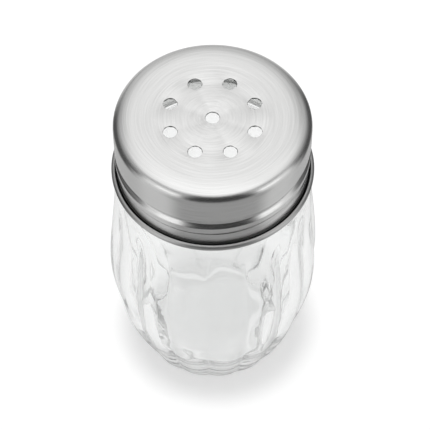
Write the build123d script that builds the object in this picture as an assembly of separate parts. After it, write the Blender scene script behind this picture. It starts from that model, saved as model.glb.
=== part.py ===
from build123d import *
import math
import os

# Spice shaker: a lobed glass jar and a perforated steel lid that screws on.
# Millimetres and degrees. Z is up and -Y is the front. The origin is the centre of the foot.
# Angles round the axis are counted from the front, counter-clockwise seen from above.

# Overall sizes
total_height = 116.0
sheet = 0.45
thread_lead = 6.7
past_surface = 1.0

# Jar: the outline along the lobes' crests, and the creases between the lobes
lobe_count = 16
lobe_turn = 7.75
widest_radius = 35.0
widest_height = 45.0
lower_arc_radius = 96.0
upper_narrowing = 0.0153
upper_power = 1.45
crease_depth = 1.45
lobe_top = 84.0
lobe_fade = 10.0
body_steps = 21
heel_top = 1.55

# Jar: shoulder and neck
shoulder_radius = 4.5
shoulder_start = 86.5
neck_radius = 29.4
neck_bore = 26.9
rim_height = 114.7
lip_radius = 0.9

# Jar: inside, and the hollow under the foot
wall_thickness = 3.85
floor_height = 8.0
floor_corner_top = 14.0
wall_top = 84.0
wall_steps = 7
bore_foot = 93.0
hollow_radius = 19.6
hollow_depth = 1.8

# Jar: raised thread on the neck
ridge_height = 1.25
ridge_half_width = 1.1
ridge_crest_half_width = 0.4
ridge_above_groove = 2.05
ridge_root_depth = 0.4
ridge_start = -30.0
ridge_end = 450.0
ridge_end_share = 0.1
ridge_section_step = 15.0

# Lid: flat top, soft crown that tilts down towards the rounded corner, and the skirt's top
lid_radius = 32.1
crown_start = 22.0
crown_power = 3.0
crown_steps = 5
corner_edge = 29.7
corner_tilt = 20.0
skirt_top = 110.5

# Lid: skirt, drawn-in band and curled rim
skirt_radius = 31.85
band_radius = 31.3
band_top = 94.2
band_step = 0.9
curl_radius = 1.175
curl_height = 89.5
curl_end_angle = 85.0

# Lid: the skirt's sheet is drawn a little thinner, and its ends run into the cap and the curl
skirt_thinning = 0.04
skirt_tuck = 0.15

# Lid: thread rolled into the skirt, shallow where it starts beside the band
groove_depth = 1.5
groove_start_depth = 0.62
groove_width = 4.2
groove_roundness = 1.5
groove_front_height = 94.55
groove_start = -100.0
groove_end = 470.0
groove_deepens_from = -30.0
groove_deepens_to = 60.0
thread_fade = 35.0
skirt_slices = 4
skirt_seam = -40.0
slice_steps = 9
skirt_levels = 44

# Lid: pouring holes, one in the middle and a ring round it
hole_diameter = 4.6
hole_ring_radius = 14.67
hole_ring_count = 8
hole_ring_turn = 22.5

# Seal between the jar's rim and the lid, with a top that slopes like the lid's underside
seal_inner_radius = 26.9
seal_outer_radius = 28.6
seal_inner_top = 115.41
seal_outer_top = 115.13


def around(radius, angle, height):
    """A point at a radius, an angle from the front and a height."""
    turned = math.radians(angle - 90)
    return Vector(radius * math.cos(turned), radius * math.sin(turned), height)


def turned_solid(outline):
    """A solid of revolution about Z from a closed outline drawn in radius and height."""
    return revolve(Plane.XZ * make_face(outline), Axis.Z)


def smooth_step(value, low, high):
    """Rises from 0 at low to 1 at high, level at both ends."""
    share = min(max((value - low) / (high - low), 0), 1)
    return share * share * (3 - 2 * share)


def even_steps(first, last, count):
    return [first + (last - first) * i / count for i in range(count + 1)]


def thread_share(angle, start, end):
    """How much of a thread's full height stands at an angle: all of it, fading at its ends."""
    rising = smooth_step(angle, start, start + thread_fade)
    falling = smooth_step(end - angle, 0, thread_fade)
    return min(rising, falling)


def crest_radius(height):
    """The jar's radius along the lobes' crests."""
    above_widest = height - widest_height
    if above_widest < 0:
        return widest_radius - above_widest**2 / (2 * lower_arc_radius)
    return widest_radius - upper_narrowing * above_widest**upper_power


def crest_lean(height):
    """How far the crest line leans outwards at a height, from upright."""
    step = 0.01
    run = crest_radius(height + step) - crest_radius(height - step)
    return math.degrees(math.atan2(run, 2 * step))


def lobed_section(height):
    """One level of the jar: an arc for each lobe, meeting the next in a crease."""
    crest = crest_radius(height)
    fade = smooth_step(lobe_top - height, 0, lobe_fade)
    crease = crest - crease_depth * (crest / widest_radius) ** 2 * fade
    lobe_angle = 360 / lobe_count
    arcs = []
    for i in range(lobe_count):
        middle = lobe_turn + lobe_angle * i
        first = around(crease, middle - lobe_angle / 2, height)
        last = around(crease, middle + lobe_angle / 2, height)
        arcs.append(ThreePointArc(first, around(crest, middle, height), last))
    return make_face(arcs)


def heel_trim():
    """What is cut off the lobes' lower edge to round it, down to the flat contact ring."""
    lean = crest_lean(heel_top)
    heel_radius = heel_top / (1 - math.sin(math.radians(lean)))
    edge = Vector(crest_radius(heel_top), heel_top)
    center = edge - Vector(heel_radius, 0).rotate(Axis.Z, -lean)
    contact = Vector(center.X, 0)
    middle = center + Vector(heel_radius, 0).rotate(Axis.Z, -(90 + lean) / 2)
    outside = crest_radius(heel_top) + past_surface
    outline = [
        ThreePointArc(contact, middle, edge),
        Line(edge, (outside, heel_top)),
        Line((outside, heel_top), (outside, -past_surface)),
        Line((outside, -past_surface), (contact.X, -past_surface)),
        Line((contact.X, -past_surface), contact),
    ]
    return turned_solid(outline)


def jar_top():
    """The shoulder, the neck and the rounded lip, as one solid piece."""
    start = Vector(crest_radius(lobe_top), lobe_top)
    bend = Vector(crest_radius(shoulder_start), shoulder_start)
    lean = crest_lean(shoulder_start)
    center = bend - Vector(shoulder_radius, 0).rotate(Axis.Z, -lean)
    rise = math.degrees(math.acos((neck_radius - center.X) / shoulder_radius))
    middle = center + Vector(shoulder_radius, 0).rotate(Axis.Z, (rise - lean) / 2)
    foot = center + Vector(shoulder_radius, 0).rotate(Axis.Z, rise)
    lip_foot = Vector(neck_radius, rim_height - lip_radius)
    lip_top = Vector(neck_radius - lip_radius, rim_height)
    outline = [
        Line(start, bend),
        ThreePointArc(bend, middle, foot),
        Line(foot, lip_foot),
        RadiusArc(lip_foot, lip_top, -lip_radius),
        Line(lip_top, (0, rim_height)),
        Line((0, rim_height), (0, lobe_top)),
        Line((0, lobe_top), start),
    ]
    return turned_solid(outline)


def jar_ridge_section(angle):
    """Outline across the jar's thread, from inside the neck's wall."""
    share = max(thread_share(angle, ridge_start, ridge_end), ridge_end_share)
    middle = groove_front_height + ridge_above_groove + thread_lead * angle / 360
    crest = neck_radius + ridge_height * share
    root = neck_radius - ridge_root_depth
    corners = [
        around(root, angle, middle - ridge_half_width),
        around(crest, angle, middle - ridge_crest_half_width),
        around(crest, angle, middle + ridge_crest_half_width),
        around(root, angle, middle + ridge_half_width),
    ]
    return make_face(Polyline(*corners, close=True))


def jar_ridge():
    steps = round((ridge_end - ridge_start) / ridge_section_step)
    angles = even_steps(ridge_start, ridge_end, steps)
    return loft([jar_ridge_section(angle) for angle in angles])


def inner_radius(height):
    """The smooth inside wall, which runs beside the crest line."""
    return crest_radius(height) - wall_thickness


def jar_cavity():
    """The space inside the jar, with a rounded floor corner, out through the lip."""
    lean = math.radians(crest_lean(floor_corner_top))
    corner_end = Vector(inner_radius(floor_corner_top), floor_corner_top)
    corner_rise = floor_corner_top - floor_height
    floor_edge = Vector(corner_end.X - corner_rise * math.tan(math.pi / 4 + lean / 2), floor_height)
    levels = even_steps(floor_corner_top, wall_top, wall_steps)
    wall = [(inner_radius(level), level) for level in levels]
    bore = Vector(neck_bore, bore_foot)
    lip_foot = Vector(neck_bore, rim_height - lip_radius)
    lip_top = Vector(neck_bore + lip_radius, rim_height)
    above = rim_height + past_surface
    outline = [
        Line((0, floor_height), floor_edge),
        TangentArc(floor_edge, corner_end, tangent=(1, 0)),
        Spline(*wall, bore, tangents=((math.sin(lean), math.cos(lean)), (0, 1))),
        Line(bore, lip_foot),
        RadiusArc(lip_foot, lip_top, lip_radius),
        Line(lip_top, (lip_top.X, above)),
        Line((lip_top.X, above), (0, above)),
        Line((0, above), (0, floor_height)),
    ]
    return turned_solid(outline)


def foot_hollow():
    """A shallow dome under the foot, cut by a large ball."""
    ball_radius = (hollow_radius**2 + hollow_depth**2) / (2 * hollow_depth)
    return Pos(0, 0, hollow_depth - ball_radius) * Sphere(ball_radius)


def glass_jar():
    levels = even_steps(0, lobe_top, body_steps)
    jar = loft([lobed_section(level) for level in levels])
    jar -= heel_trim()
    jar += jar_top()
    jar += jar_ridge()
    jar -= jar_cavity()
    return jar - foot_hollow()


def groove_depth_at(angle, height):
    """How deep the rolled thread is at a point of the skirt, over each of its turns."""
    depth = 0.0
    for turns in (-1, 0, 1):
        along = angle + 360 * turns
        deepened = smooth_step(along, groove_deepens_from, groove_deepens_to)
        full = groove_start_depth + (groove_depth - groove_start_depth) * deepened
        middle = groove_front_height + thread_lead * along / 360
        across = min(abs(height - middle) / (groove_width / 2), 1)
        hollow = (1 - across**2) ** groove_roundness
        depth = max(depth, full * hollow * thread_share(along, groove_start, groove_end))
    return depth


def skirt_radius_at(angle, height):
    """The skirt's outside: a slight taper, drawn in at the band and along the thread."""
    foot = band_top + band_step
    share = max((height - foot) / (skirt_top - foot), 0)
    band_depth = (skirt_radius - band_radius) * smooth_step(foot - height, 0, band_step)
    tapered = skirt_radius + (lid_radius - skirt_radius) * share
    return tapered - max(band_depth, groove_depth_at(angle, height))


def skirt_section(angle):
    """The skirt's sheet cut upright at an angle, from the curl to the cap."""
    levels = even_steps(curl_height - skirt_tuck, skirt_top + skirt_tuck, skirt_levels)
    radii = [skirt_radius_at(angle, level) for level in levels]
    inset = sheet - skirt_thinning
    outer = [around(r - skirt_thinning, angle, z) for r, z in zip(radii, levels)]
    inner = [around(r - inset, angle, z) for r, z in zip(radii, levels)]
    outline = [
        Spline(*outer),
        Line(outer[-1], inner[-1]),
        Spline(*reversed(inner)),
        Line(inner[0], outer[0]),
    ]
    return make_face(outline)


def lid_skirt():
    slice_angle = 360 / skirt_slices
    slices = []
    for i in range(skirt_slices):
        start = skirt_seam + slice_angle * i
        angles = even_steps(start, start + slice_angle, slice_steps)
        slices.append(loft([skirt_section(angle) for angle in angles]))
    return slices[0] + slices[1:]


def crown_point(share, inset):
    """A point of the crown, part of the way from its flat middle to the corner."""
    slope = math.tan(math.radians(corner_tilt))
    span = corner_edge - crown_start
    drop = slope * span * share ** (crown_power + 1) / (crown_power + 1)
    lean = math.degrees(math.atan(slope * share**crown_power))
    surface = Vector(crown_start + span * share, total_height - drop)
    return surface - Vector(0, inset).rotate(Axis.Z, -lean)


def lid_cap():
    """The flat top, its soft crown, the rounded corner and the start of the skirt."""
    shares = even_steps(0, 1, crown_steps)
    crown = [crown_point(share, 0) for share in shares]
    underside = [crown_point(share, sheet) for share in reversed(shares)]
    tilt = math.radians(corner_tilt)
    downwards = (math.cos(tilt), -math.sin(tilt))
    upwards = (-math.cos(tilt), math.sin(tilt))
    corner_radius = (lid_radius - corner_edge) / (1 - math.sin(tilt))
    corner_foot = crown[-1].Y - corner_radius * math.cos(tilt)
    outside_corner = Vector(lid_radius, corner_foot)
    outside_foot = Vector(lid_radius, skirt_top)
    inside_foot = Vector(lid_radius - sheet, skirt_top)
    inside_corner = Vector(lid_radius - sheet, corner_foot)
    outline = [
        Line((0, total_height), crown[0]),
        Spline(*crown, tangents=((1, 0), downwards)),
        RadiusArc(crown[-1], outside_corner, corner_radius),
        Line(outside_corner, outside_foot),
        Line(outside_foot, inside_foot),
        Line(inside_foot, inside_corner),
        RadiusArc(inside_corner, underside[0], sheet - corner_radius),
        Spline(*underside, tangents=(upwards, (-1, 0))),
        Line(underside[-1], (0, total_height - sheet)),
        Line((0, total_height - sheet), (0, total_height)),
    ]
    return turned_solid(outline)


def lid_curl():
    """The lid's lower edge, rolled outwards into an open tube."""
    center = Vector(band_radius - sheet + curl_radius, curl_height)
    inside = curl_radius - sheet
    wall_angle = -180

    def on_curl(radius, angle):
        return center + Vector(radius, 0).rotate(Axis.Z, angle)

    def arc(radius, first, last):
        middle = (first + last) / 2
        return ThreePointArc(on_curl(radius, first), on_curl(radius, middle), on_curl(radius, last))

    outline = [
        arc(curl_radius, wall_angle, curl_end_angle),
        Line(on_curl(curl_radius, curl_end_angle), on_curl(inside, curl_end_angle)),
        arc(inside, curl_end_angle, wall_angle),
        Line(on_curl(inside, wall_angle), on_curl(curl_radius, wall_angle)),
    ]
    return turned_solid(outline)


def pouring_holes():
    places = [Vector(0, 0, total_height)]
    for i in range(hole_ring_count):
        angle = hole_ring_turn + 360 / hole_ring_count * i
        places.append(around(hole_ring_radius, angle, total_height))
    punch = Cylinder(hole_diameter / 2, 2 * (sheet + past_surface))
    return [Pos(place) * punch for place in places]


def perforated_lid():
    return lid_skirt() + lid_cap() + lid_curl() - pouring_holes()


def lid_seal():
    corners = [
        (seal_inner_radius, rim_height),
        (seal_outer_radius, rim_height),
        (seal_outer_radius, seal_outer_top),
        (seal_inner_radius, seal_inner_top),
    ]
    return turned_solid(Polyline(*corners, close=True))


pieces = {
    "glass_jar": glass_jar,
    "lid_seal": lid_seal,
    "perforated_lid": perforated_lid,
}
os.makedirs("parts", exist_ok=True)
for name, make in pieces.items():
    solid = make()
    print(name, round(solid.volume / 1000, 2), "cm3, valid", solid.is_valid, len(solid.solids()))
    export_step(solid, f"parts/{name}.step")
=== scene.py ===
import math

import bpy
from mathutils import Matrix, Vector
from mathutils.geometry import delaunay_2d_cdt


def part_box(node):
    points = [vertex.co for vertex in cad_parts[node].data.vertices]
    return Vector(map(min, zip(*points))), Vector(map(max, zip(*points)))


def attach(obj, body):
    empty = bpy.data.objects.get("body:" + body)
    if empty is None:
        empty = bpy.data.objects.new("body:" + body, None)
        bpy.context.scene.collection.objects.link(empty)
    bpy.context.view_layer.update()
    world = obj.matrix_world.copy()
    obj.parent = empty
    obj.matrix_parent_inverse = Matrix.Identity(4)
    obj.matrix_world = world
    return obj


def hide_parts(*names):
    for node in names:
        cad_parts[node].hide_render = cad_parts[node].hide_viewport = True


# Spice shaker: a lobed glass jar under a brushed steel lid that screws on, on a white floor.
# Shapes are worked out in millimetres and their meshes are made in metres, in the frame's own axes.
# Angles round the axis are counted from the front, counter-clockwise seen from above.
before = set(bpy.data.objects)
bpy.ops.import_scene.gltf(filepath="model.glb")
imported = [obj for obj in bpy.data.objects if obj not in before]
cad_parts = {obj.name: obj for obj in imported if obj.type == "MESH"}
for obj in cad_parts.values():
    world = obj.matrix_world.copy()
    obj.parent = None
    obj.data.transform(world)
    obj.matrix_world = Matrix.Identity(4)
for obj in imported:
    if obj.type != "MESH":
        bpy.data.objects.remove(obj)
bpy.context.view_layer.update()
mm = 0.001

# Heights and radii that the frame gives
jar_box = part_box("glass_jar")
lid_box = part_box("perforated_lid")
seal_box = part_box("lid_seal")
total_height = lid_box[1][2] / mm
rim_height = jar_box[1][2] / mm
seal_outer_radius = seal_box[1][0] / mm

# Jar: the outline along the lobes' crests, and the creases between the lobes
lobe_count = 16
lobe_turn = 7.75
widest_radius = 35.0
widest_height = 45.0
lower_arc_radius = 96.0
upper_narrowing = 0.0153
upper_power = 1.45
crease_depth = 1.45
crease_rounding = 0.1
lobe_top = 82.0
lobe_fade = 16.0
lobe_columns = 16
heel_top = 1.55
heel_rows = 8
body_rows = 70
fade_foot = 72.0
fade_rows = 40
slope_step = 0.01

# Jar: shoulder, neck and lip
shoulder_radius = 4.5
shoulder_start = 86.5
neck_radius = 29.4
neck_bore = 26.9
neck_rows = 64
shoulder_rows = 14
lip_radius = 0.9
lip_rows = 6

# Jar: inside, and the hollow under the foot
wall_thickness = 3.6
inner_crease_share = 0.75
inner_crease_rounding = 0.3
inner_lobe_top = 80.0
inner_lobe_fade = 20.0
inner_lobe_foot = 18.0
inner_foot_fade = 8.0
floor_height = 8.0
floor_corner_top = 18.0
wall_top = 84.0
bore_foot = 93.0
hollow_radius = 19.6
hollow_depth = 1.8
hollow_rows = 10
bore_rows = 6
wall_rows = 56
floor_corner_rows = 14
floor_rows = 8
wall_waviness = 0.12
wave_full_height = 30.0
wave_fade = 15.0

# Jar: waves of the inside wall, each with its count round the axis, slant, start and share
wall_waves = [(3, 9.0, 0.0, 1.0), (5, -6.0, 1.3, 0.7), (9, 5.0, 4.0, 0.5)]

# Jar: raised thread on the neck
ridge_height = 1.25
ridge_half_width = 1.1
ridge_crest_half_width = 0.4
ridge_above_groove = 2.05
ridge_start = -30.0
ridge_end = 450.0

# Lid: sheet, cap, skirt, drawn-in band and curled rim
sheet = 0.45
lid_radius = 32.1
skirt_radius = 31.85
crown_start = 22.0
crown_power = 3.0
crown_rows = 14
corner_edge = 29.7
corner_tilt = 20.0
corner_rows = 18
skirt_top = 110.5
band_radius = 31.3
band_top = 95.3
band_step = 1.2
curl_radius = 1.175
curl_height = 89.5
curl_end_angle = 85.0
curl_top = 90.8
inner_curl_rows = 24
outer_curl_rows = 30
lid_columns = 240
fine_row = 0.12
coarse_row = 0.4
thread_zone = (92.5, 106.3)
above_thread_rows = 14
below_thread_rows = 8

# Lid: rolled thread
thread_lead = 6.7
groove_depth = 1.25
groove_start_depth = 0.55
groove_upper_flank = (2.35, 0.45)
groove_lower_flank = (-2.4, -0.75)
groove_lower_sway = 0.5
groove_front_height = 94.55
groove_start = -100.0
groove_end = 470.0
groove_deepens_from = -10.0
groove_deepens_to = 120.0
thread_fade = 35.0
flank_straightness = 0.55

# Lid: pouring holes, with the upper edge drawn in a little by the punch
hole_radius = 2.3
hole_ring_radius = 14.67
hole_ring_count = 8
hole_ring_turn = 22.5
hole_edge = 0.16
hole_edge_rows = 4
hole_columns = 40
hole_field_radius = 20.0
field_rows = 2

# Seal, with a top that slopes like the lid's underside
seal_inner_radius = 26.9
seal_outer_top = 115.13
seal_edge = 0.1

# Steel: brushing as noise across and along its streaks and its detail, then tones and roughness
coarse_brushing = (2200.0, 1.6, 3.0)
fine_brushing = (9000.0, 4.0, 1.0)
streak_span = (0.3, 0.7)
steel_dark = (0.61, 0.61, 0.605, 1)
steel_light = (0.71, 0.71, 0.705, 1)
steel_roughness = (0.20, 0.25)
steel_relief = (0.15, 0.00001)
steel_anisotropy = 0.75
# Painted shade: a near-black colour for the curl's hollow and the walls of the holes, its share on
# the walls, the lean of the walls that get it, and how far it reaches in the hollow
painted_shade_color = (0.10, 0.10, 0.10, 1)
hole_wall_shade_share = 0.8
hole_wall_shade_lean = (0.6, 0.98)
curl_shade_reach = (1.05, 1.35)
curl_fade = 0.5
curl_color = (0.03, 0.03, 0.03, 1)
curl_color_share = 0.25
curl_roughness = 0.14

# Glass: tones, how much it bends light, and the swell of its surface
glass_dark = (0.976, 0.982, 0.979, 1)
glass_light = (0.984, 0.989, 0.986, 1)
glass_bending = 1.5
glass_swell = 70.0
glass_relief = (0.2, 0.0002)

# Liner of the seal: tones and grain
liner_dark = (0.80, 0.80, 0.78, 1)
liner_light = (0.90, 0.90, 0.88, 1)
liner_roughness = 0.6
liner_grain = 1500.0
liner_relief = (0.3, 0.00005)

# Studio: brightness at some elevations, of the ceiling all round and of the back
ceiling_levels = [
    (5, 0.08), (23, 0.33), (40, 0.60), (46, 0.68),
    (53, 1.04), (61, 1.21), (75, 1.42), (90, 1.49),
]
back_levels = [
    (0, 0.58), (12, 0.64), (22, 0.74), (36, 0.91),
    (45, 1.07), (52, 1.24), (62, 1.41), (75, 1.49),
]
back_azimuths = (115, 180)
studio_turn = 6.0

# Studio: patches, each with its azimuths, elevations, soft edge and level
ceiling_gap = ((28, 88), (44, 63), 6, 0.6)
dark_front = ((-60, 31), (-40, 60), 9, 0.06)
soft_boxes = ((36, 80), (-15, 40), 9, 1.0)
bright_strips = ((38, 66), (14, 30), 5, 1.7)
darkest_level = 0.04

# Studio: its level for plain surfaces, and as it shows through the glass
soft_level = 0.6
through_level = 0.88
light_bounces = 40

# Lamp: a soft round one almost straight above
lamp_strength = 1.0
lamp_angle = 7.0
lamp_lean = (0.8, 0.8)

# Floor: white, but darker in front and beside the shaker as the steel mirrors it. Reaches in metres.
floor_size = 6.0
floor_tone = (0.80, 0.80, 0.80, 1)
floor_dark_tone = (0.10, 0.10, 0.10, 1)
floor_glow = 0.34
floor_glow_through = 0.54
floor_shade_through = 0.50
front_azimuths = (36, 57)
front_reaches = (0.045, 0.075)
front_share = 0.50
side_azimuths = (86, 145)
side_softness = 12
side_reaches = (0.12, 0.22)
side_near_share = 0.2

# Camera: a long lens, 960 mm from the middle of the lid's top
image_size = 430
focal_pixels = 3000
sensor_width = 36.0
camera_distance = 960.0
camera_elevation = 52.7
lid_pixel = (213.0, 117.6)
camera_roll = -0.25


def around(radius, angle, height):
    """A point in metres at a radius, an angle from the front and a height."""
    turned = math.radians(angle - 90)
    return (radius * math.cos(turned) * mm, radius * math.sin(turned) * mm, height * mm)


def smooth_step(value, low, high):
    """Rises from 0 at low to 1 at high, level at both ends."""
    share = min(max((value - low) / (high - low), 0), 1)
    return share * share * (3 - 2 * share)


def even_steps(first, last, count):
    return [first + (last - first) * i / count for i in range(count + 1)]


def thread_share(angle, start, end):
    """How much of a thread's full height stands at an angle: all of it, fading at its ends."""
    rising = smooth_step(angle, start, start + thread_fade)
    falling = smooth_step(end - angle, 0, thread_fade)
    return min(rising, falling)


def arc_points(center, radius, first, last, steps):
    """Points in radius and height along an arc, with angles in degrees from outwards."""
    points = []
    for angle in even_steps(first, last, steps):
        turned = math.radians(angle)
        points.append((center[0] + radius * math.cos(turned), center[1] + radius * math.sin(turned)))
    return points


def ring_faces(first, second, columns):
    """Quads between two closed rings of vertices that start at these indices."""
    faces = []
    for i in range(columns):
        j = (i + 1) % columns
        faces.append((first + i, first + j, second + j, second + i))
    return faces


def row_vertices(rows, angles):
    """Vertices of every row. A row is a height and a radius, or a function that gives the radius."""
    vertices = []
    for height, radius in rows:
        for angle in angles:
            reach = radius(angle, height) if callable(radius) else radius
            vertices.append(around(reach, angle, height))
    return vertices


def make_piece(name, vertices, faces, body, slot, material, *nodes):
    """A smooth-shaded piece that rides on a body and stands for its CAD nodes."""
    mesh = bpy.data.meshes.new(name)
    mesh.from_pydata(vertices, [], faces)
    mesh.validate()
    mesh.shade_smooth()
    piece = bpy.data.objects.new(name, mesh)
    bpy.context.scene.collection.objects.link(piece)
    mesh.materials.append(material)
    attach(piece, body)
    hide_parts(*nodes)
    return piece


# Jar

def crest_radius(height):
    """The jar's radius along the lobes' crests."""
    above_widest = height - widest_height
    if above_widest < 0:
        return widest_radius - above_widest**2 / (2 * lower_arc_radius)
    return widest_radius - upper_narrowing * above_widest**upper_power


def crest_slope(height):
    """How fast the crest line moves outwards as it rises."""
    rise = crest_radius(height + slope_step) - crest_radius(height - slope_step)
    return rise / (2 * slope_step)


def lobe_angles():
    """Angles of the jar's columns, closer together beside the creases."""
    half_lobe = 180 / lobe_count
    angles = []
    for lobe in range(lobe_count):
        for step in range(lobe_columns):
            across = math.sin(math.pi * (step / lobe_columns - 0.5))
            angles.append(lobe_turn + 2 * half_lobe * lobe + half_lobe * across)
    return angles


def crease_share(angle, rounding):
    """0 on a lobe's crest and 1 in the rounded crease beside it."""
    half_lobe = 180 / lobe_count
    across = (angle - lobe_turn + half_lobe) % (2 * half_lobe) / half_lobe - 1
    beside = 1 - abs(across)
    rounded = math.hypot(beside, rounding) - rounding
    return (1 - rounded) ** 2


def heel_arc():
    """Centre and radius of the rounded lower edge, which ends upright on the foot."""
    lean = math.atan(crest_slope(heel_top))
    radius = heel_top / (1 - math.sin(lean))
    return (crest_radius(heel_top) - radius * math.cos(lean), radius), radius


def crease_depth_at(height):
    """How deep the creases are, less where the jar is narrower and none above the lobes."""
    fade = smooth_step(lobe_top - height, 0, lobe_fade)
    return crease_depth * (crest_radius(height) / widest_radius) ** 2 * fade


def body_radius(angle, height):
    """The jar's outside below its shoulder."""
    crest = crest_radius(height)
    lobed = crest - crease_depth_at(height) * crease_share(angle, crease_rounding)
    center, radius = heel_arc()
    if height < heel_top:
        reach = math.sqrt(max(radius**2 - (height - center[1]) ** 2, 0))
        return min(lobed, center[0] + reach)
    return lobed


def shoulder_points():
    """The arc from the lobes' top over to the foot of the neck."""
    lean = math.atan(crest_slope(shoulder_start))
    center = (
        crest_radius(shoulder_start) - shoulder_radius * math.cos(lean),
        shoulder_start + shoulder_radius * math.sin(lean),
    )
    rise = math.degrees(math.acos((neck_radius - center[0]) / shoulder_radius))
    return arc_points(center, shoulder_radius, math.degrees(-lean), rise, shoulder_rows)


def ridge_at(angle, height):
    """How far the jar's thread stands out of the neck at a point."""
    out = 0.0
    for turns in (-1, 0, 1):
        along = angle + 360 * turns
        middle = groove_front_height + ridge_above_groove + thread_lead * along / 360
        away = abs(height - middle)
        flank = 1 - smooth_step(away, ridge_crest_half_width, ridge_half_width)
        out = max(out, ridge_height * flank * thread_share(along, ridge_start, ridge_end))
    return out


def wall_wave(angle, height):
    """Slight unevenness of the inside, as pressed and blown glass has it."""
    turned = math.radians(angle)
    window = smooth_step(height, floor_corner_top, wave_full_height)
    window *= smooth_step(bore_foot - height, 0, wave_fade)
    wave = 0.0
    for count, slant, start, share in wall_waves:
        wave += share * math.sin(count * turned + height / slant + start)
    return wall_waviness * wave * window


def inner_wall_radius(height):
    """The inside wall, which runs beside the crest line and then in to the neck's bore."""
    if height <= wall_top:
        return crest_radius(height) - wall_thickness
    share = (height - wall_top) / (bore_foot - wall_top)
    start = crest_radius(wall_top) - wall_thickness
    slope = crest_slope(wall_top) * (bore_foot - wall_top)
    eased = smooth_step(share, 0, 1)
    return start + (neck_bore - start) * eased + slope * share * (1 - share) ** 2


def jar_rows():
    """Every row of the jar from the middle of its foot, over the lip, to the middle of its floor."""
    ball = (hollow_radius**2 + hollow_depth**2) / (2 * hollow_depth)
    center, heel_radius = heel_arc()
    rows = []
    for radius in even_steps(0, hollow_radius, hollow_rows)[1:]:
        rows.append((hollow_depth - ball + math.sqrt(ball**2 - radius**2), radius))
    rows.append((0, (hollow_radius + center[0]) / 2))
    rows.append((0, center[0]))
    for share in even_steps(0, 1, heel_rows)[1:]:
        rows.append((heel_top * share**2, body_radius))
    body_heights = even_steps(heel_top, fade_foot, body_rows)[1:]
    body_heights += even_steps(fade_foot, shoulder_start, fade_rows)[1:]
    rows += [(height, body_radius) for height in body_heights]
    rows += [(height, radius) for radius, height in shoulder_points()[1:]]
    neck_foot = rows[-1][0]

    def neck(angle, height):
        return neck_radius + ridge_at(angle, height)

    lip_foot = rim_height - lip_radius
    rows += [(height, neck) for height in even_steps(neck_foot, lip_foot, neck_rows)[1:]]
    outer_lip = arc_points((neck_radius - lip_radius, lip_foot), lip_radius, 0, 90, lip_rows)
    inner_lip = arc_points((neck_bore + lip_radius, lip_foot), lip_radius, 90, 180, lip_rows)
    rows += [(height, radius) for radius, height in outer_lip[1:] + inner_lip]

    def inner(angle, height):
        fade = smooth_step(height, inner_lobe_foot, inner_lobe_foot + inner_foot_fade)
        fade *= smooth_step(inner_lobe_top - height, 0, inner_lobe_fade)
        lobes = crease_depth * (crest_radius(height) / widest_radius) ** 2
        lobes *= inner_crease_share * fade * crease_share(angle, inner_crease_rounding)
        return inner_wall_radius(height) - lobes + wall_wave(angle, height)

    rows += [(height, neck_bore) for height in even_steps(lip_foot, bore_foot, bore_rows)[1:]]
    rows += [(height, inner) for height in even_steps(bore_foot, floor_corner_top, wall_rows)[1:]]
    lean = math.atan(crest_slope(floor_corner_top))
    corner = floor_corner_top - floor_height
    corner_radius = corner / (1 - math.sin(lean))
    corner_center = inner_wall_radius(floor_corner_top) - corner_radius * math.cos(lean)
    floor_corner = arc_points(
        (corner_center, floor_height + corner_radius),
        corner_radius, -math.degrees(lean), -90, floor_corner_rows,
    )
    rows += [(height, radius) for radius, height in floor_corner[1:]]
    rows += [(floor_height, radius) for radius in even_steps(corner_center, 0, floor_rows)[1:-1]]
    return rows


def jar_mesh():
    """Vertices and faces of the whole jar, closed at the middle of its foot and floor."""
    angles = lobe_angles()
    columns = len(angles)
    rows = jar_rows()
    vertices = row_vertices(rows, angles)
    faces = []
    for row in range(len(rows) - 1):
        faces += ring_faces(row * columns, (row + 1) * columns, columns)
    foot, floor = len(vertices), len(vertices) + 1
    vertices += [(0, 0, hollow_depth * mm), (0, 0, floor_height * mm)]
    last = (len(rows) - 1) * columns
    for i in range(columns):
        j = (i + 1) % columns
        faces.append((foot, j, i))
        faces.append((floor, last + i, last + j))
    return vertices, faces


# Lid

def flank_share(value, low, high):
    """Rises from 0 at low to 1 at high along a nearly straight flank with eased ends."""
    share = min(max((value - low) / (high - low), 0), 1)
    return flank_straightness * share + (1 - flank_straightness) * smooth_step(share, 0, 1)


def groove_share(angle, above):
    """The rolled groove's section, 0 to 1: an upper flank, a short flat bottom and a lower flank."""
    if above > groove_upper_flank[1]:
        return flank_share(-above, -groove_upper_flank[0], -groove_upper_flank[1])
    sway = groove_lower_sway * math.sin(math.radians(angle))
    return flank_share(above + sway, *groove_lower_flank)


def groove_depth_at(angle, height):
    """How deep the rolled thread is at a point of the skirt, over each of its turns."""
    depth = 0.0
    for turns in (-1, 0, 1):
        along = angle + 360 * turns
        deepened = smooth_step(along, groove_deepens_from, groove_deepens_to)
        full = groove_start_depth + (groove_depth - groove_start_depth) * deepened
        middle = groove_front_height + thread_lead * along / 360
        section = groove_share(angle, height - middle)
        depth = max(depth, full * section * thread_share(along, groove_start, groove_end))
    return depth


def skirt_radius_at(angle, height):
    """The skirt's outside: a slight taper, drawn in at the band and along the thread."""
    foot = band_top + band_step
    share = max((height - foot) / (skirt_top - foot), 0)
    band_depth = (skirt_radius - band_radius) * flank_share(foot - height, 0, band_step)
    tapered = skirt_radius + (lid_radius - skirt_radius) * min(share, 1)
    return tapered - max(band_depth, groove_depth_at(angle, height))


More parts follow.
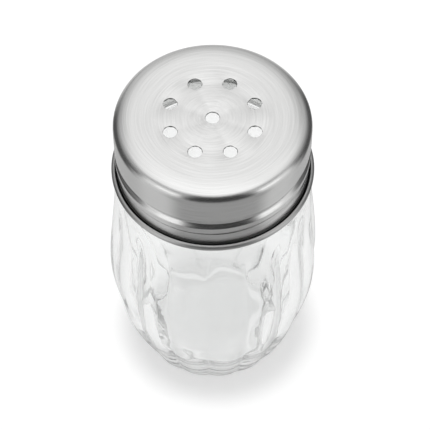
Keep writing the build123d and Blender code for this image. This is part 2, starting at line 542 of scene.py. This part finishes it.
def cap_profile():
    """The lid's top over its soft crown and rounded corner: a radius, a height and a lean each."""
    slope = math.tan(math.radians(corner_tilt))
    span = corner_edge - crown_start
    profile = []
    for share in even_steps(0, 1, crown_rows):
        drop = slope * span * share ** (crown_power + 1) / (crown_power + 1)
        lean = math.atan(slope * share**crown_power)
        profile.append((crown_start + span * share, total_height - drop, lean))
    corner_radius = (lid_radius - corner_edge) / (1 - math.sin(math.radians(corner_tilt)))
    center_height = profile[-1][1] - corner_radius * math.cos(math.radians(corner_tilt))
    for angle in even_steps(corner_tilt, 90, corner_rows)[1:]:
        lean = math.radians(angle)
        radius = lid_radius - corner_radius * (1 - math.sin(lean))
        profile.append((radius, center_height + corner_radius * math.cos(lean), lean))
    return profile


def lid_rows():
    """Rows down the lid's outside, round the curl and back up its inside."""
    underside = total_height - sheet
    profile = cap_profile()
    corner_foot = profile[-1][1]
    inside_count = round((corner_foot - curl_height) / coarse_row)
    inside_heights = even_steps(corner_foot, curl_height, inside_count)
    zone_rows = round((thread_zone[1] - thread_zone[0]) / fine_row)
    heights = even_steps(corner_foot, thread_zone[1], above_thread_rows)
    heights += even_steps(*reversed(thread_zone), zone_rows)[1:]
    heights += even_steps(thread_zone[0], curl_height, below_thread_rows)[1:]
    curl_center = (band_radius - sheet + curl_radius, curl_height)

    def outside(angle, height):
        return skirt_radius_at(angle, height)

    def inside(angle, height):
        return skirt_radius_at(angle, height) - sheet

    flat_radii = even_steps(hole_field_radius, crown_start, field_rows)
    rows = [(total_height, radius) for radius in flat_radii[:-1]]
    rows += [(height, radius) for radius, height, _ in profile[:-1]]
    rows += [(height, outside) for height in heights[:-1]]
    inner_curl = arc_points(curl_center, curl_radius - sheet, -180, curl_end_angle, inner_curl_rows)
    outer_curl = arc_points(curl_center, curl_radius, -180, curl_end_angle, outer_curl_rows)
    rows += [(height, radius) for radius, height in inner_curl]
    rows += [(height, radius) for radius, height in reversed(outer_curl)]
    rows += [(height, inside) for height in reversed(inside_heights[:-1])]
    for radius, height, lean in reversed(profile[:-1]):
        rows.append((height - sheet * math.cos(lean), radius - sheet * math.sin(lean)))
    rows += [(underside, radius) for radius in reversed(flat_radii[:-1])]
    return rows


def hole_places():
    places = [(0.0, 0.0)]
    for i in range(hole_ring_count):
        angle = hole_ring_turn + 360 / hole_ring_count * i
        x, y, _ = around(hole_ring_radius, angle, 0)
        places.append((x / mm, y / mm))
    return places


def fill_field(vertices, rings, upwards):
    """Triangles that fill an outer ring of vertices round several smaller ones."""
    order = [index for ring in rings for index in ring]
    points = [Vector(vertices[index][:2]) / mm for index in order]
    edges, start = [], 0
    for ring in rings:
        count = len(ring)
        edges += [(start + i, start + (i + 1) % count) for i in range(count)]
        start += count
    _, _, triangles, originals, _, _ = delaunay_2d_cdt(points, edges, [], 0, 1e-6)
    hole_spots = [Vector(place) for place in hole_places()]
    well_inside = hole_radius * 0.98
    faces = []
    for triangle in triangles:
        corners = [order[originals[i][0]] for i in triangle]
        middle = sum((Vector(vertices[i][:2]) for i in corners), Vector((0, 0))) / (3 * mm)
        if min((middle - spot).length for spot in hole_spots) < well_inside:
            continue
        faces.append(tuple(corners) if upwards else tuple(reversed(corners)))
    return faces


def hole_wall():
    """Radii and heights down a hole's wall, with its drawn-in upper edge and broken lower edge."""
    underside = total_height - sheet
    edge_center = (hole_radius + hole_edge, total_height - hole_edge)
    wall = arc_points(edge_center, hole_edge, 90, 180, hole_edge_rows)
    wall.append((hole_radius, underside + hole_edge / 2))
    wall.append((hole_radius + hole_edge / 2, underside))
    return wall


def lid_mesh():
    """Vertices and faces of the whole lid, a closed sheet with its nine holes."""
    rows = lid_rows()
    vertices = row_vertices(rows, even_steps(0, 360, lid_columns)[:-1])
    faces = []
    for row in range(len(rows) - 1):
        faces += ring_faces((row + 1) * lid_columns, row * lid_columns, lid_columns)
    top_rings = [list(range(lid_columns))]
    last = (len(rows) - 1) * lid_columns
    under_rings = [list(range(last, last + lid_columns))]
    for x, y in hole_places():
        starts = []
        for radius, height in hole_wall():
            starts.append(len(vertices))
            for i in range(hole_columns):
                turned = 2 * math.pi * i / hole_columns
                spot = (x + radius * math.cos(turned), y + radius * math.sin(turned), height)
                vertices.append(tuple(value * mm for value in spot))
        for upper, lower in zip(starts, starts[1:]):
            faces += ring_faces(upper, lower, hole_columns)
        top_rings.append(list(range(starts[0], starts[0] + hole_columns)))
        under_rings.append(list(range(starts[-1], starts[-1] + hole_columns)))
    faces += fill_field(vertices, top_rings, True)
    faces += fill_field(vertices, under_rings, False)
    return vertices, faces


def seal_mesh():
    """A thin ring with slightly rounded edges, between the jar's rim and the lid."""
    low, inner_top = seal_box[0][2] / mm, seal_box[1][2] / mm
    outline = [
        (low + seal_edge, seal_inner_radius),
        (low, seal_inner_radius + seal_edge),
        (low, seal_outer_radius - seal_edge),
        (low + seal_edge, seal_outer_radius),
        (seal_outer_top - seal_edge, seal_outer_radius),
        (seal_outer_top, seal_outer_radius - seal_edge),
        (inner_top - seal_edge / 2, seal_inner_radius + seal_edge),
        (inner_top - seal_edge, seal_inner_radius),
    ]
    vertices = row_vertices(outline, even_steps(0, 360, lid_columns)[:-1])
    faces = []
    for row in range(len(outline)):
        after = (row + 1) % len(outline)
        faces += ring_faces(row * lid_columns, after * lid_columns, lid_columns)
    return vertices, faces


# Nodes

def add_node(tree, kind, inputs=(), **settings):
    """Adds a node. inputs gives a value, or another node's output, for a socket's name or number."""
    node = tree.nodes.new("ShaderNode" + kind)
    for name, value in settings.items():
        setattr(node, name, value)
    for name, value in dict(inputs).items():
        if isinstance(value, bpy.types.NodeSocket):
            tree.links.new(value, node.inputs[name])
        else:
            node.inputs[name].default_value = value
    return node


def math_node(tree, operation, first, second=0.0):
    return add_node(tree, "Math", {0: first, 1: second}, operation=operation).outputs[0]


def vector_node(tree, operation, vector, output):
    return add_node(tree, "VectorMath", {0: vector}, operation=operation).outputs[output]


def map_range(tree, value, low, high, to_low, to_high, smooth=False):
    inputs = {"Value": value, "From Min": low, "From Max": high, "To Min": to_low, "To Max": to_high}
    kind = "SMOOTHSTEP" if smooth else "LINEAR"
    return add_node(tree, "MapRange", inputs, interpolation_type=kind).outputs["Result"]


def mix_levels(tree, factor, first, second):
    inputs = {"Factor": factor, "A": first, "B": second}
    return add_node(tree, "Mix", inputs, data_type="FLOAT").outputs["Result"]


def mix_colors(tree, factor, first, second):
    return add_node(tree, "Mix", {0: factor, 6: first, 7: second}, data_type="RGBA").outputs[2]


def tone_ramp(tree, factor, first, second, span=(0.0, 1.0)):
    """A colour that goes from the first to the second over a span of the factor."""
    ramp = add_node(tree, "ValToRGB", {"Fac": factor})
    for stop, place, color in zip(ramp.color_ramp.elements, span, (first, second)):
        stop.position = place
        stop.color = color
    return ramp.outputs["Color"]


def object_place(tree):
    """A point's place on the object, its three parts, and its distance from the axis."""
    place = add_node(tree, "TexCoord").outputs["Object"]
    parts = add_node(tree, "SeparateXYZ", {0: place}).outputs
    flat = add_node(tree, "CombineXYZ", {0: parts[0], 1: parts[1]}).outputs[0]
    return place, parts, flat, vector_node(tree, "LENGTH", flat, "Value")


# Materials

def new_material(name):
    material = bpy.data.materials.new(name)
    material.use_nodes = True
    tree = material.node_tree
    return material, tree, tree.nodes["Principled BSDF"]


def add_relief(tree, shader, height, relief):
    """Bumps the surface by a height, with a strength and a distance in metres."""
    strength, distance = relief
    bump = add_node(tree, "Bump", {"Height": height, "Strength": strength, "Distance": distance})
    tree.links.new(bump.outputs["Normal"], shader.inputs["Normal"])


def brushing(tree, across, along, detail):
    """Noise in long streaks round the axis: fine across the brushing, slow along it."""
    _, parts, flat, reach = object_place(tree)
    direction = vector_node(tree, "NORMALIZE", flat, 0)
    direction = add_node(tree, "SeparateXYZ", {0: direction}).outputs
    profile = math_node(tree, "SUBTRACT", reach, parts[2])
    vector = add_node(tree, "CombineXYZ", {
        0: math_node(tree, "MULTIPLY", profile, across),
        1: math_node(tree, "MULTIPLY", direction[0], along),
        2: math_node(tree, "MULTIPLY", direction[1], along),
    }).outputs[0]
    noise = add_node(tree, "TexNoise", {"Vector": vector, "Scale": 1.0, "Detail": detail})
    return noise.outputs["Fac"]


def curl_hollow_shade(tree, parts, reach):
    """Painted shade: 1 inside the lid's curl, 0 elsewhere."""
    across = math_node(tree, "SUBTRACT", reach, (band_radius - sheet + curl_radius) * mm)
    upwards = math_node(tree, "SUBTRACT", parts[2], curl_height * mm)
    from_curl = add_node(tree, "CombineXYZ", {0: across, 1: upwards}).outputs[0]
    from_curl = vector_node(tree, "LENGTH", from_curl, "Value")
    near, far = [(curl_radius - sheet) * mm * share for share in curl_shade_reach]
    return map_range(tree, from_curl, near, far, 1, 0, smooth=True)


def hole_wall_shade(tree, reach):
    """Painted shade: 1 on the upright walls of the holes, 0 elsewhere."""
    normal = add_node(tree, "NewGeometry").outputs["Normal"]
    facing = add_node(tree, "SeparateXYZ", {0: normal}).outputs[2]
    upright = map_range(tree, math_node(tree, "ABSOLUTE", facing), *hole_wall_shade_lean, 1, 0)
    middle = math_node(tree, "LESS_THAN", reach, hole_field_radius * mm)
    return math_node(tree, "MULTIPLY", upright, middle)


def steel_material():
    """Stainless sheet brushed round its axis, darker and rougher along its curl, with painted shade
    in the curl's hollow and on the walls of its holes.
    """
    material, tree, shader = new_material("brushed_steel")
    _, parts, _, reach = object_place(tree)
    coarse = brushing(tree, *coarse_brushing)
    # Painted shade, near black, on the walls of the holes and in the curl's hollow
    wall_shade = math_node(tree, "MULTIPLY", hole_wall_shade(tree, reach), hole_wall_shade_share)
    painted_shade = math_node(tree, "MAXIMUM", curl_hollow_shade(tree, parts, reach), wall_shade)
    curl = map_range(tree, parts[2], curl_top * mm, (curl_top + curl_fade) * mm, 1, 0, smooth=True)
    color = tone_ramp(tree, coarse, steel_dark, steel_light, streak_span)
    color = mix_colors(tree, painted_shade, color, painted_shade_color)
    color = mix_colors(tree, math_node(tree, "MULTIPLY", curl, curl_color_share), color, curl_color)
    tree.links.new(color, shader.inputs["Base Color"])
    roughness = map_range(tree, coarse, *streak_span, *steel_roughness)
    rougher = math_node(tree, "MULTIPLY", curl, curl_roughness)
    tree.links.new(math_node(tree, "ADD", roughness, rougher), shader.inputs["Roughness"])
    add_relief(tree, shader, brushing(tree, *fine_brushing), steel_relief)
    tangent = add_node(tree, "Tangent", direction_type="RADIAL", axis="Z")
    tree.links.new(tangent.outputs["Tangent"], shader.inputs["Tangent"])
    shader.inputs["Metallic"].default_value = 1.0
    shader.inputs["Anisotropic"].default_value = steel_anisotropy
    shader.inputs["Anisotropic Rotation"].default_value = 0.25
    return material


def glass_material():
    """Clear pressed glass, polished, with a faint green cast and a hardly uneven surface."""
    material, tree, shader = new_material("clear_glass")
    place = add_node(tree, "TexCoord").outputs["Object"]
    inputs = {"Vector": place, "Scale": glass_swell, "Detail": 1.0}
    swell = add_node(tree, "TexNoise", inputs).outputs["Fac"]
    add_relief(tree, shader, swell, glass_relief)
    tree.links.new(tone_ramp(tree, swell, glass_dark, glass_light), shader.inputs["Base Color"])
    shader.inputs["Transmission Weight"].default_value = 1.0
    shader.inputs["IOR"].default_value = glass_bending
    shader.inputs["Roughness"].default_value = 0.0
    return material


def seal_material():
    """Soft off-white liner with a fine matt grain."""
    material, tree, shader = new_material("soft_liner")
    place = add_node(tree, "TexCoord").outputs["Object"]
    inputs = {"Vector": place, "Scale": liner_grain, "Detail": 3.0}
    grain = add_node(tree, "TexNoise", inputs).outputs["Fac"]
    tree.links.new(tone_ramp(tree, grain, liner_dark, liner_light), shader.inputs["Base Color"])
    add_relief(tree, shader, grain, liner_relief)
    shader.inputs["Roughness"].default_value = liner_roughness
    return material


# Studio

def window(tree, value, low, high, soft):
    """1 between two angles in degrees, falling to 0 over a soft edge."""
    rise = map_range(tree, value, low - soft, low + soft, 0, 1, smooth=True)
    fall = map_range(tree, value, high - soft, high + soft, 1, 0, smooth=True)
    return math_node(tree, "MULTIPLY", rise, fall)


def studio_azimuth(tree, vector):
    """Degrees either way from the middle of the studio's dark front, for a direction or a place."""
    angle = -math.radians(studio_turn)
    inputs = {"Vector": vector, "Angle": angle}
    turned = add_node(tree, "VectorRotate", inputs, rotation_type="Z_AXIS").outputs[0]
    parts = add_node(tree, "SeparateXYZ", {0: turned}).outputs
    forwards = math_node(tree, "MULTIPLY", parts[1], -1.0)
    azimuth = math_node(tree, "ARCTAN2", parts[0], forwards)
    return math_node(tree, "ABSOLUTE", math_node(tree, "DEGREES", azimuth))


def level_ramp(tree, elevation, levels):
    """A brightness that goes from one level to the next between given elevations in degrees."""
    brightest = max(level for _, level in levels)
    ramp = add_node(tree, "ValToRGB", {"Fac": math_node(tree, "DIVIDE", elevation, 90.0)})
    stops = ramp.color_ramp.elements
    stops.remove(stops[1])
    for i, (height, level) in enumerate(levels):
        stop = stops[0] if i == 0 else stops.new(height / 90)
        stop.position = height / 90
        stop.color = [level / brightest] * 3 + [1]
    return math_node(tree, "MULTIPLY", ramp.outputs["Color"], brightest)


def studio_level(tree, direction):
    """The studio's brightness in a direction, as polished things mirror it."""
    azimuth = studio_azimuth(tree, direction)
    upwards = add_node(tree, "SeparateXYZ", {0: direction}).outputs[2]
    elevation = math_node(tree, "DEGREES", math_node(tree, "ARCSINE", upwards))

    def patch(azimuths, elevations, soft):
        across = window(tree, azimuth, *azimuths, soft)
        upright = window(tree, elevation, *elevations, soft)
        return math_node(tree, "MULTIPLY", across, upright)

    level = level_ramp(tree, elevation, ceiling_levels)
    for *place, dimmed in (ceiling_gap, dark_front):
        shade = map_range(tree, patch(*place), 0, 1, 1, dimmed)
        level = math_node(tree, "MULTIPLY", level, shade)
    back_width = map_range(tree, azimuth, *back_azimuths, 0, 1, smooth=True)
    back = math_node(tree, "MULTIPLY", back_width, level_ramp(tree, elevation, back_levels))
    level = math_node(tree, "MAXIMUM", level, back)
    for *place, brightness in (soft_boxes, bright_strips):
        light = math_node(tree, "MULTIPLY", patch(*place), brightness)
        level = math_node(tree, "MAXIMUM", level, light)
    return math_node(tree, "MAXIMUM", level, darkest_level)


def make_world():
    """The studio for reflections, plain soft light for the rest, and white where it is seen."""
    world = bpy.data.worlds.new("studio")
    bpy.context.scene.world = world
    world.use_nodes = True
    tree = world.node_tree
    background = tree.nodes["Background"]
    background.inputs["Color"].default_value = (1, 1, 1, 1)
    level = studio_level(tree, add_node(tree, "TexCoord").outputs["Generated"])
    rays = add_node(tree, "LightPath").outputs
    level = mix_levels(tree, rays["Is Diffuse Ray"], level, soft_level)
    level = mix_levels(tree, rays["Is Transmission Ray"], level, through_level)
    level = mix_levels(tree, rays["Is Camera Ray"], level, 1.0)
    tree.links.new(level, background.inputs["Strength"])


def make_overhead_lamp():
    """Gives the soft, close shadow round the foot. It isn't mirrored in the steel."""
    lamp = bpy.data.lights.new("overhead_lamp", "SUN")
    lamp.energy = lamp_strength
    lamp.angle = math.radians(lamp_angle)
    holder = bpy.data.objects.new("overhead_lamp", lamp)
    holder.rotation_euler = [math.radians(-angle) for angle in lamp_lean] + [0]
    holder.visible_glossy = False
    bpy.context.scene.collection.objects.link(holder)


def floor_darkness(tree):
    """How dark each place of the floor is where the steel mirrors it, 0 to 1."""
    place = add_node(tree, "TexCoord").outputs["Object"]
    reach = vector_node(tree, "LENGTH", place, "Value")
    azimuth = studio_azimuth(tree, place)
    front = map_range(tree, azimuth, *front_azimuths, front_share, 0, smooth=True)
    clear = map_range(tree, reach, *front_reaches, 0, 1, smooth=True)
    side = window(tree, azimuth, *side_azimuths, side_softness)
    away = map_range(tree, reach, *side_reaches, side_near_share, 1, smooth=True)
    front = math_node(tree, "MULTIPLY", front, clear)
    return math_node(tree, "MAXIMUM", front, math_node(tree, "MULTIPLY", side, away))


def floor_material():
    """White with a little glow for the camera and through the glass, which keeps its shadow soft."""
    material, tree, shader = new_material("white_floor")
    tree.nodes.remove(shader)
    rays = add_node(tree, "LightPath").outputs
    mirrored = math_node(tree, "MULTIPLY", floor_darkness(tree), rays["Is Glossy Ray"])
    through = math_node(tree, "MULTIPLY", rays["Is Transmission Ray"], floor_shade_through)
    tone = math_node(tree, "MAXIMUM", mirrored, through)
    tone = tone_ramp(tree, tone, floor_tone, floor_dark_tone)
    diffuse = add_node(tree, "BsdfDiffuse", {"Color": tone})
    seen = math_node(tree, "MULTIPLY", rays["Is Camera Ray"], floor_glow)
    through = math_node(tree, "MULTIPLY", rays["Is Transmission Ray"], floor_glow_through)
    glow = add_node(tree, "Emission", {"Strength": math_node(tree, "ADD", seen, through)})
    both = add_node(tree, "AddShader", {0: diffuse.outputs[0], 1: glow.outputs[0]})
    tree.links.new(both.outputs[0], tree.nodes["Material Output"].inputs["Surface"])
    return material


def make_floor():
    bpy.ops.mesh.primitive_plane_add(size=floor_size, location=(0, 0, 0))
    floor = bpy.context.object
    floor.name = "floor"
    floor.data.materials.append(floor_material())


def make_camera():
    """Looks down at the shaker so that the middle of the lid's top falls on its own pixel."""
    data = bpy.data.cameras.new("camera")
    data.sensor_width = sensor_width
    data.lens = sensor_width * focal_pixels / image_size
    camera = bpy.data.objects.new("camera", data)
    bpy.context.scene.collection.objects.link(camera)
    down = math.radians(camera_elevation)
    away = camera_distance * mm
    camera.location = (0, -away * math.cos(down), total_height * mm + away * math.sin(down))
    below = math.atan((image_size / 2 - lid_pixel[1]) / focal_pixels)
    aside = math.atan((image_size / 2 - lid_pixel[0]) / focal_pixels)
    turn = Matrix.Rotation(math.radians(90) - down - below, 4, "X")
    turn @= Matrix.Rotation(-aside, 4, "Y")
    turn @= Matrix.Rotation(math.radians(camera_roll), 4, "Z")
    camera.rotation_euler = turn.to_euler()
    data.clip_start = 0.01
    data.clip_end = 20
    bpy.context.scene.camera = camera


make_camera()
make_world()
make_overhead_lamp()
make_floor()
jar = make_piece("jar_glass", *jar_mesh(), "jar", "glass", glass_material(), "glass_jar")
make_piece("screw_lid", *lid_mesh(), "lid", "steel", steel_material(), "perforated_lid")
make_piece("seal_ring", *seal_mesh(), "seal", "seal", seal_material(), "lid_seal")

# Clear glass lets the lamp's light through to the floor
jar.visible_shadow = False

scene = bpy.context.scene
scene.view_settings.view_transform = "Standard"
scene.cycles.max_bounces = light_bounces
scene.cycles.transmission_bounces = light_bounces
scene.cycles.glossy_bounces = light_bounces
